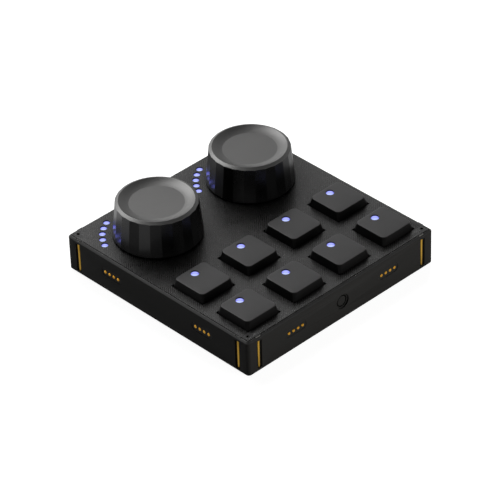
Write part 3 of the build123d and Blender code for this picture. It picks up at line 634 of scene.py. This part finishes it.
# Contact insulators: their noses come almost level with the walls, with a softened rim
def makeInsulators(settings):
    piece = mergedCopy("contact_blocks", "contactInsulators")
    start = settings["noseFrom"] * mm
    for vertex in piece.data.vertices:
        for axis in (0, 1):
            if abs(vertex.co[axis]) > start:
                vertex.co[axis] += math.copysign(settings["noseForward"] * mm, vertex.co[axis])
    softenEdges(piece, settings["edge"])
    finishPiece(piece, "case", slotOf["contact_blocks"], "contact_blocks", finish="insulator")


makeInsulators(contactSettings)
print("case, plate and insulators dressed")


buttonSettings = {
    "edge": 0.05,
    "capFrom": 1.5,
    "capTo": 2.6,
    "narrow": 0.92,
    "sideTilt": -0.5,
}


# Mode button: its own skin in the plastic of the case, with a slightly narrower cap, and sides
# painted near black as shade, so that the ring round it shows dark
def makeButton(settings):
    s = settings
    piece = mergedCopy("mode_button", "modeButton")
    corners = [vertex.co for vertex in piece.data.vertices]
    front = min(co.y for co in corners)
    face = [co for co in corners if co.y < front + 0.01 * mm]
    middle = (min(co.z for co in face) + max(co.z for co in face)) / 2
    for co in corners:
        off = math.hypot(co.x, co.z - middle) / mm
        if s["capFrom"] < off < s["capTo"]:
            co.x *= s["narrow"]
            co.z = middle + (co.z - middle) * s["narrow"]
    softenEdges(piece, s["edge"])
    body, slot = bodyOf["mode_button"], slotOf["mode_button"]
    finishPiece(piece, body, slot, "mode_button", finish="case_plastic")
    # Painted shade on the button's sides
    finishFaces(piece, "socket_painted_shade", lambda face: face.normal.y > s["sideTilt"])


makeButton(buttonSettings)
print("mode button dressed")


screwSettings = {
    "edge": 0.05,
    "socketFoot": 16.0,
    "socketTop": 17.5,
    "socketReach": 0.8,
    "places": 49.76,
}


# Corner screws: black heads level with the plate, with painted shade in their sockets
def makeScrews(settings):
    s = settings
    piece = mergedCopy("faceplate_screws", "plateScrews")
    softenEdges(piece, s["edge"])
    finishPiece(piece, "case", "black_steel", "faceplate_screws")

    def inSocket(face):
        x, y, z = face.center / mm
        off = math.hypot(abs(x) - s["places"], abs(y) - s["places"])
        return s["socketFoot"] < z < s["socketTop"] and off < s["socketReach"]

    # Painted shade in the screws' sockets
    finishFaces(piece, "socket_painted_shade", inSocket)


makeScrews(screwSettings)
print("corner screws dressed")


magnetSettings = {
    "reach": 46.75,
    "face": 52.7,
    "width": 1.2,
    "depth": 1.98,
    "bottom": 2.03,
    "top": 15.45,
    "round": 0.5,
    "roundSteps": 16,
    "ends": ((0.08, 0), (0.02, 0.02), (0, 0.08)),
}


# One magnet bar behind the front wall: an upright with a rounded face and softened ends
def makeMagnet(settings):
    s = settings
    middle = -s["face"] + s["depth"] / 2
    steps = s["roundSteps"]

    def section(shrink, height):
        across, deep = s["width"] / 2 - shrink, s["depth"] / 2 - shrink
        curve = s["round"]
        points = []
        for n in range(steps + 1):
            turn = math.pi * n / steps
            side = across - curve if n <= steps / 2 else -(across - curve)
            points.append((side + curve * math.cos(turn), -(deep - curve) - curve * math.sin(turn)))
        points += [(-across, deep), (0, deep), (across, deep)]
        return [(x, middle + y, height) for x, y in points]

    outlines = [section(shrink, s["bottom"] + rise) for shrink, rise in s["ends"]]
    outlines += [section(shrink, s["top"] - rise) for shrink, rise in reversed(s["ends"])]
    count = len(outlines[0])
    outlines.insert(0, [(0, middle, s["bottom"])] * count)
    outlines.append([(0, middle, s["top"])] * count)
    return ringSkin("magnet", outlines, smoothAngle=50)


magnet = makeMagnet(magnetSettings)
for quarter, side in enumerate(("front", "right", "back", "left")):
    for hand, shift in (("A", -magnetSettings["reach"]), ("B", magnetSettings["reach"])):
        piece = copyPiece(magnet, side + "Magnet" + hand, (shift, 0))
        piece.data.transform(Matrix.Rotation(math.pi / 2 * quarter, 4, "Z"))
        finishPiece(piece, "case", "magnet_plate", "magnet_bars")
bpy.data.objects.remove(magnet)
print("magnet bars modelled")


dialSettings = {
    "facets": 24,
    "columnsPerFacet": 8,
    "footHeight": 18.05,
    "footRadius": 18.85,
    "footFlat": 18.35,
    "crestHeight": 34.5,
    "crestRadius": 15.8,
    "sideSlope": 0.09936,
    "bevelSlope": 1.7647,
    "discRadius": 11.5,
    "discHeight": 33.0,
    "dishMiddle": 33.53,
    "edgeSoftness": 0.13,
    "wallFoot": 16.25,
    "wallTop": 14.7,
    "ceiling": 30.8,
    "hubRadius": 5.5,
    "hubFoot": 21.5,
    "boreRadius": 3.05,
    "boreFlat": 1.55,
    "topFrom": 32.0,
    "topTilt": 0.4,
}


# Points on the arc that runs through three points
def arcThrough(first, middle, last, steps):
    ax, ay = first
    bx, by = middle
    cx, cy = last
    a, b, c = ax**2 + ay**2, bx**2 + by**2, cx**2 + cy**2
    d = 2 * (ax * (by - cy) + bx * (cy - ay) + cx * (ay - by))
    ux = (a * (by - cy) + b * (cy - ay) + c * (ay - by)) / d
    uy = (a * (cx - bx) + b * (ax - cx) + c * (bx - ax)) / d
    radius = math.hypot(ax - ux, ay - uy)
    start, end = math.atan2(ay - uy, ax - ux), math.atan2(cy - uy, cx - ux)
    turns = [start + (end - start) * n / steps for n in range(steps + 1)]
    return [(ux + radius * math.cos(t), uy + radius * math.sin(t)) for t in turns]


# Section of the dial at one column, as (radius, height) from the middle of the disc, over the
# dish and the rim, down a flat, and up inside to the bore
def dialSection(settings, angle):
    s = settings
    facet = 360 / s["facets"]
    offCentre = (math.degrees(angle) + facet / 2) % facet - facet / 2
    flat = math.cos(math.radians(facet / 2)) / math.cos(math.radians(offCentre))
    footRise = (s["footRadius"] * flat - s["footFlat"]) / (1 + s["sideSlope"] * flat)
    fullHeight = s["crestHeight"] - s["footHeight"]
    topReach = (s["footRadius"] - s["sideSlope"] * fullHeight) * flat
    drop = (topReach - s["crestRadius"]) / (s["bevelSlope"] - s["sideSlope"] * flat)
    soft = s["edgeSoftness"]
    crest = (s["crestRadius"], s["crestHeight"])
    rim = (s["crestRadius"] + s["bevelSlope"] * drop, s["crestHeight"] - drop)
    foot = (s["footFlat"] + footRise, s["footHeight"] + footRise)
    dishMiddle = ((s["crestRadius"] + s["discRadius"]) / 2, s["dishMiddle"])
    dish = arcThrough((s["discRadius"], s["discHeight"]), dishMiddle, crest, 24)
    section = [(0, s["discHeight"]), (s["discRadius"] * 0.5, s["discHeight"]), *dish[:-1]]
    bevelRun = math.hypot(s["bevelSlope"], 1)
    afterCrest = (crest[0] + soft * s["bevelSlope"] / bevelRun, crest[1] - soft / bevelRun)
    section += roundedCorner(dish[-2], crest, afterCrest)[1:]
    beforeRim = (rim[0] - soft * s["bevelSlope"] / bevelRun, rim[1] + soft / bevelRun)
    afterRim = (rim[0] + soft * s["sideSlope"] * flat, rim[1] - soft)
    section += roundedCorner(beforeRim, rim, afterRim)
    section += [tuple(a + (b - a) * n / 4 for a, b in zip(afterRim, foot)) for n in range(1, 5)]
    section += [
        (s["footFlat"], s["footHeight"]),
        (s["wallFoot"], s["footHeight"]),
        (s["wallTop"], s["ceiling"]),
        (s["hubRadius"], s["ceiling"]),
        (s["hubRadius"], s["hubFoot"]),
    ]
    return section


# Dial: the columns' sections side by side, closed inside by a flatted bore
def makeDial(settings):
    s = settings
    count = s["facets"] * s["columnsPerFacet"]
    angles = [math.tau * n / count for n in range(count)]
    sections = [dialSection(s, a) for a in angles]
    outlines = []
    for ring in zip(*sections):
        outlines.append([(r * math.cos(a), r * math.sin(a), z) for a, (r, z) in zip(angles, ring)])
    radius = s["boreRadius"]
    bore = [(radius * math.cos(a), min(radius * math.sin(a), s["boreFlat"])) for a in angles]
    outlines.append([(x, y, s["hubFoot"]) for x, y in bore])
    outlines.append([(x, y, s["ceiling"]) for x, y in bore])
    outlines.append([(0, 0, s["ceiling"])] * count)
    return ringSkin("dial", outlines, smoothAngle=7)


dial = makeDial(dialSettings)
for side, (x, y) in dialCentres.items():
    piece = copyPiece(dial, side + "Dial", (x, y))
    finishPiece(piece, side + "_dial", "dial_metal", side + "_knob")
    topTilt, topFrom = dialSettings["topTilt"], dialSettings["topFrom"] * mm
    # Painted shade: the flats, and all below the top, take the darker finish
    finishFaces(
        piece, "dial_side_painted_shade", lambda face: abs(face.normal.z) < topTilt or face.center.z < topFrom
    )
bpy.data.objects.remove(dial)
print("dials modelled")


keySettings = {
    "base": 17.99,
    "top": 16.35,
    "corner": 1.4,
    "topCorner": 2.0,
    "edge": 0.28,
    "bottom": 16.85,
    "footRim": 0.02,
    "height": 21.2,
    "wall": 1.1,
    "innerCorner": 0.3,
    "innerDraft": 0.74,
    "ceiling": 19.8,
    "sideTilt": 0.5,
    "windowHole": 1.8,
    "holeEdge": 0.08,
    "holeRing": 0.7,
    "windowBack": 4.75,
    "windowTop": 20.85,
    "windowRadius": 1.77,
    "windowEdge": 0.2,
    "windowDrop": 0.04,
    "windowDome": ((0.6, 0.06), (0.3, 0.085), (0, 0.09)),
    "flangeRadius": 2.1,
    "flangeBottom": 19.3,
}


# A square with rounded corners, from the middle of its right side and round to the left
def squareOutline(side, corner, height, cornerSteps=8, sideSteps=4):
    half = side / 2 - corner
    points = []
    for quarter, (x, y) in enumerate(((half, half), (-half, half), (-half, -half), (half, -half))):
        arc = [math.pi / 2 * (quarter + n / cornerSteps) for n in range(cornerSteps + 1)]
        corners = [(x + corner * math.cos(a), y + corner * math.sin(a)) for a in arc]
        nextX, nextY = -y, x
        turn = math.pi / 2 * (quarter + 1)
        start = corners[-1]
        end = (nextX + corner * math.cos(turn), nextY + corner * math.sin(turn))
        points += corners
        for n in range(1, sideSteps):
            points.append(tuple(p + (q - p) * n / sideSteps for p, q in zip(start, end)))
    # The first spoke points along X, so the list starts half a side before the first corner
    back = sideSteps // 2
    points = points[-back:] + points[:-back]
    return [(px, py, height) for px, py in points]


# Keycap: from its open foot up inside, out through the window's hole, and down the outside
def makeKeycap(settings):
    s = settings
    slope = (s["base"] - s["top"]) / 2 / (s["height"] - s["bottom"])
    # The rounded top edge: from the side's line, through the corner, onto the flat top
    sidePoint = (slope * s["edge"], -s["edge"])
    edgeCurve = roundedCorner(sidePoint, (0, 0), (-s["edge"], 0), steps=8)
    inner, corner = s["base"] - 2 * s["wall"], s["innerCorner"]
    foot = squareOutline(inner, corner, s["bottom"])
    outlines = [foot, squareOutline(inner - s["innerDraft"], corner, s["ceiling"])]
    for out, height in (
        (0, s["ceiling"]),
        (0, s["height"] - s["holeEdge"]),
        (s["holeEdge"], s["height"]),
        (s["holeRing"], s["height"]),
    ):
        radius = s["windowHole"] + out
        outlines.append(circleOutline(radius, height, len(foot), (0, s["windowBack"])))
    for out, up in reversed(edgeCurve):
        outlines.append(squareOutline(s["top"] + 2 * out, s["topCorner"] + out, s["height"] + up))
    outlines.append(squareOutline(s["base"], s["corner"], s["bottom"] + s["footRim"]))
    outlines.append(foot)
    return ringSkin("keycap", outlines, smoothAngle=25)


# Window of a key: a lens on a flange
def makeWindow(settings):
    s = settings
    r, top, edge = s["windowRadius"], s["windowTop"], s["windowEdge"]
    corner = (r, top - s["windowDrop"])
    section = [
        (0, s["flangeBottom"]),
        (s["flangeRadius"], s["flangeBottom"]),
        (s["flangeRadius"], s["ceiling"]),
        (r, s["ceiling"]),
        (r, top - edge),
        *roundedCorner((r, top - edge), corner, (r - edge, top), steps=4)[1:],
        *[(r * share, top + rise) for share, rise in s["windowDome"]],
    ]
    return ringSkin("window", [circleOutline(x, z, 48, (0, s["windowBack"])) for x, z in section])


# Planar coordinates over a lens, from -1 to 1 across it, for the pattern of its light
def drawLensMap(piece, centre, radius):
    layer = piece.data.uv_layers.new(name="lens")
    for loop in piece.data.loops:
        point = piece.data.vertices[loop.vertex_index].co / mm
        across, along = point.x - centre[0], point.y - centre[1]
        layer.data[loop.index].uv = (across / radius, along / radius)


keycap = makeKeycap(keySettings)
window = makeWindow(keySettings)
drawLensMap(window, (0, keySettings["windowBack"]), keySettings["windowRadius"])
for number, centre in enumerate(keyCentres, start=1):
    key = f"key_{number}"
    piece = copyPiece(keycap, f"keycap{number}", centre)
    finishPiece(piece, key, "cap_plastic", key + "_cap")
    # Painted shade: the caps' sides take the darker copy of their plastic
    finishFaces(piece, "cap_side_painted_shade", lambda face: face.normal.z < keySettings["sideTilt"])
    finishPiece(copyPiece(window, f"window{number}", centre), key, "window_lens", key + "_window")
bpy.data.objects.remove(keycap)
bpy.data.objects.remove(window)
print("keycaps and windows modelled")


lampSettings = {
    "radius": 1.45,
    "seat": 17.151,
    "seatRim": 0.001,
    "top": 17.19,
    "edge": 0.2,
    "dome": ((0.6, 0.025), (0.3, 0.035), (0, 0.038)),
    "blue": (0.16, 0.17, 1.0),
    "lightRadius": 1.2,
    "lightHeight": 17.62,
    "power": 0.00004,
}


def lampCentres():
    spots = []
    for x, y in dialCentres.values():
        for angle in plan["lampAngles"]:
            turn, ring = math.radians(angle), plan["lampRing"]
            spots.append((x + ring * math.cos(turn), y + ring * math.sin(turn)))
    return spots


# Lens of an arc: it covers the end of a lamp guide, which stays as the solids have it
def makeLampLens(settings):
    s = settings
    r, seat, top = s["radius"], s["seat"], s["top"]
    section = [
        (0, seat),
        (r, seat),
        *roundedCorner((r, seat + s["seatRim"]), (r, top), (r - s["edge"], top), steps=4),
        *[(r * share, top + rise) for share, rise in s["dome"]],
    ]
    return ringSkin("lampLens", [circleOutline(x, z, 48) for x, z in section])


# Each lit lens of the arcs also throws a little light on the dial beside it
def addLensGlow(settings, name, centre):
    lamp = bpy.data.lights.new(name, "AREA")
    lamp.shape = "DISK"
    lamp.size = 2 * settings["lightRadius"] * mm
    lamp.energy = settings["power"]
    lamp.color = settings["blue"]
    holder = bpy.data.objects.new(name, lamp)
    bpy.context.scene.collection.objects.link(holder)
    holder.location = Vector((*centre, settings["lightHeight"])) * mm
    holder.rotation_euler = (math.pi, 0, 0)
    holder.visible_camera = False


lampLens = makeLampLens(lampSettings)
drawLensMap(lampLens, (0, 0), lampSettings["radius"])
for number, centre in enumerate(lampCentres(), start=1):
    finishPiece(copyPiece(lampLens, f"lampLens{number}", centre), "case", "lamp_lens")
    addLensGlow(lampSettings, f"lensGlow{number}", centre)
bpy.data.objects.remove(lampLens)
print("lamp lenses modelled")


# Floor: white paper under the camera, with the object's soft shadow. What the flats of the dials
# and the walls mirror of it is dim, but for a few brighter zones.
floorSettings = {
    "size": 6.0,
    "paper": (0.3, 0.3, 0.3),
    "veil": 0.2,
    "veilInMirrors": 0.05,
    "glow": 0.94,
    "dim": 0.06,
    "strip": {"strength": 0.36, "x": ((-0.082, -0.072), (-0.045, -0.052)), "y": ()},
    "zones": {
        "left": {"strength": 0.46, "x": ((-0.082, -0.088),), "y": ((0.02, 0.012), (-0.03, -0.015))},
        "behind": {"strength": 1.25, "x": ((0.0, -0.04),), "y": ((0.046, 0.1),)},
        "ahead": {"strength": 0.5, "x": ((-0.1, -0.085),), "y": ((-0.045, -0.06),)},
        "beside": {"strength": 0.5, "x": ((0.05, 0.08),), "y": ()},
    },
}


# A zone fades in over each of its ranges, from the first value to the second
def addZone(tree, axes, zone):
    value = zone["strength"]
    for axis in ("x", "y"):
        for start, end in zone[axis]:
            value = maths(tree, "MULTIPLY", spread(tree, axes[axis.upper()], start, end), value)
    return value


def makeFloor(settings):
    s = settings
    bpy.ops.mesh.primitive_plane_add(size=s["size"], location=(0, 0, 0))
    floor = bpy.context.object
    floor.name = "floor"
    material = newMaterial("floorPaper")
    tree = material.node_tree
    path = addNode(tree, "ShaderNodeLightPath").outputs
    paper = addNode(tree, "ShaderNodeBsdfDiffuse", {"Color": colour(*s["paper"])})
    veilShade = maths(tree, "MULTIPLY_ADD", path["Is Camera Ray"], s["veil"], s["veilInMirrors"])
    veil = addNode(tree, "ShaderNodeBsdfDiffuse", {"Color": veilShade})
    place = addNode(tree, "ShaderNodeTexCoord").outputs["Object"]
    axes = addNode(tree, "ShaderNodeSeparateXYZ", {"Vector": place}).outputs
    strength = maths(tree, "ADD", addZone(tree, axes, s["strip"]), s["dim"])
    for zone in s["zones"].values():
        strength = maths(tree, "MAXIMUM", strength, addZone(tree, axes, zone))
    white = maths(tree, "MULTIPLY", path["Is Camera Ray"], s["glow"])
    strength = maths(tree, "MAXIMUM", strength, white)
    glow = addNode(tree, "ShaderNodeEmission", {"Strength": strength})
    shown = addNode(tree, "ShaderNodeAddShader")
    tree.links.new(veil.outputs[0], shown.inputs[0])
    tree.links.new(glow.outputs[0], shown.inputs[1])
    mix = addNode(tree, "ShaderNodeMixShader", {"Fac": directView(tree, path)})
    tree.links.new(paper.outputs[0], mix.inputs[1])
    tree.links.new(shown.outputs[0], mix.inputs[2])
    showShader(tree, mix)
    floor.data.materials.append(material)


makeFloor(floorSettings)


# World: white to the camera and a dim fill for the rest. In mirrors it falls off with height, and
# it is dimmer to the left.
worldSettings = {
    "fill": 0.01,
    "fallsOver": (0.46, 0.92),
    "high": 0.26,
    "leansOver": (-0.18, 0.2),
    "lean": (0.5, 1.3),
    "leftOver": (-0.5, 0.2),
    "left": 0.65,
}


def makeWorld(settings):
    s = settings
    world = bpy.data.worlds.new("studio")
    bpy.context.scene.world = world
    world.use_nodes = True
    tree = world.node_tree
    tree.nodes.clear()
    path = addNode(tree, "ShaderNodeLightPath").outputs
    direction = addNode(tree, "ShaderNodeTexCoord").outputs["Generated"]
    axes = addNode(tree, "ShaderNodeSeparateXYZ", {"Vector": direction}).outputs
    walls = spread(tree, axes["Z"], *s["fallsOver"], 1.0, s["high"])
    across = maths(tree, "SUBTRACT", axes["Y"], axes["X"])
    walls = maths(tree, "MULTIPLY", walls, spread(tree, across, *s["leansOver"], *s["lean"]))
    leftShare = spread(tree, axes["X"], *s["leftOver"], s["left"], 1.0)
    walls = maths(tree, "MULTIPLY", walls, leftShare)
    strength = maths(tree, "MULTIPLY", directView(tree, path), walls)
    strength = maths(tree, "MAXIMUM", strength, s["fill"])
    strength = maths(tree, "MAXIMUM", strength, path["Is Camera Ray"])
    back = addNode(tree, "ShaderNodeBackground", {"Color": colour(1, 1, 1), "Strength": strength})
    out = addNode(tree, "ShaderNodeOutputWorld")
    tree.links.new(back.outputs[0], out.inputs["Surface"])


makeWorld(worldSettings)


# Soft boxes: direction from the controller, distance, size and power. The broad ones shape the
# light on plastic, and the glint is what the turned metal mirrors.
softBoxes = {
    "backBox": {
        "direction": (0.42, 0.5, 0.72), "distance": 1.1, "size": (0.5, 0.5), "power": 16.0,
        "tint": (1, 1, 1), "mirrored": False,
    },
    "glintBox": {
        "direction": (-0.08, 0.65, 0.75), "distance": 0.5, "size": (0.31, 0.31), "power": 0.77,
        "tint": (1, 1, 1), "mirrored": True,
    },
    "frontFill": {
        "direction": (0.35, -1.0, 0.2), "distance": 1.5, "size": (0.9, 0.4), "power": 15.0,
        "tint": (1.0, 0.985, 0.95), "mirrored": False,
    },
    "frontBox": {
        "direction": (0.6, -1.0, 0.25), "distance": 1.5, "size": (0.6, 0.3), "power": 0.2,
        "tint": (1.0, 0.97, 0.93), "mirrored": True,
    },
}


def addSoftBox(name, settings):
    lamp = bpy.data.lights.new(name, "AREA")
    lamp.shape = "RECTANGLE"
    lamp.size, lamp.size_y = settings["size"]
    lamp.energy = settings["power"]
    lamp.color = settings["tint"]
    holder = bpy.data.objects.new(name, lamp)
    bpy.context.scene.collection.objects.link(holder)
    towards = Vector(settings["direction"]).normalized()
    holder.location = towards * settings["distance"]
    holder.rotation_euler = towards.to_track_quat("Z", "Y").to_euler()
    holder.visible_glossy = settings["mirrored"]


for name, settings in softBoxes.items():
    addSoftBox(name, settings)
print("floor, world and lamps placed")

# Camera: solved from the photograph, at its own place and lens
cameraSettings = {
    "place": (-0.75069, -0.79664, 0.80813),
    "azimuth": -43.291,
    "elevation": 36.163,
    "roll": 1.905,
    "focalPixels": 3297.27,
    "imagePixels": 500,
    "sensor": 36.0,
}


def placeCamera(settings):
    turn, tilt, roll = (math.radians(settings[k]) for k in ("azimuth", "elevation", "roll"))
    level = math.cos(tilt)
    back = Vector((math.sin(turn) * level, -math.cos(turn) * level, math.sin(tilt)))
    right = (-back).cross(Vector((0, 0, 1))).normalized()
    up = back.cross(right)
    right, up = (
        right * math.cos(roll) - up * math.sin(roll),
        up * math.cos(roll) + right * math.sin(roll),
    )
    lens = bpy.data.cameras.new("camera")
    lens.lens = settings["sensor"] * settings["focalPixels"] / settings["imagePixels"]
    lens.sensor_width = settings["sensor"]
    lens.clip_start, lens.clip_end = 0.02, 20.0
    holder = bpy.data.objects.new("camera", lens)
    bpy.context.scene.collection.objects.link(holder)
    axes = Matrix((right, up, back)).transposed().to_4x4()
    holder.matrix_world = Matrix.Translation(settings["place"]) @ axes
    bpy.context.scene.camera = holder


placeCamera(cameraSettings)
bpy.context.scene.view_settings.view_transform = "Standard"
print("camera placed")
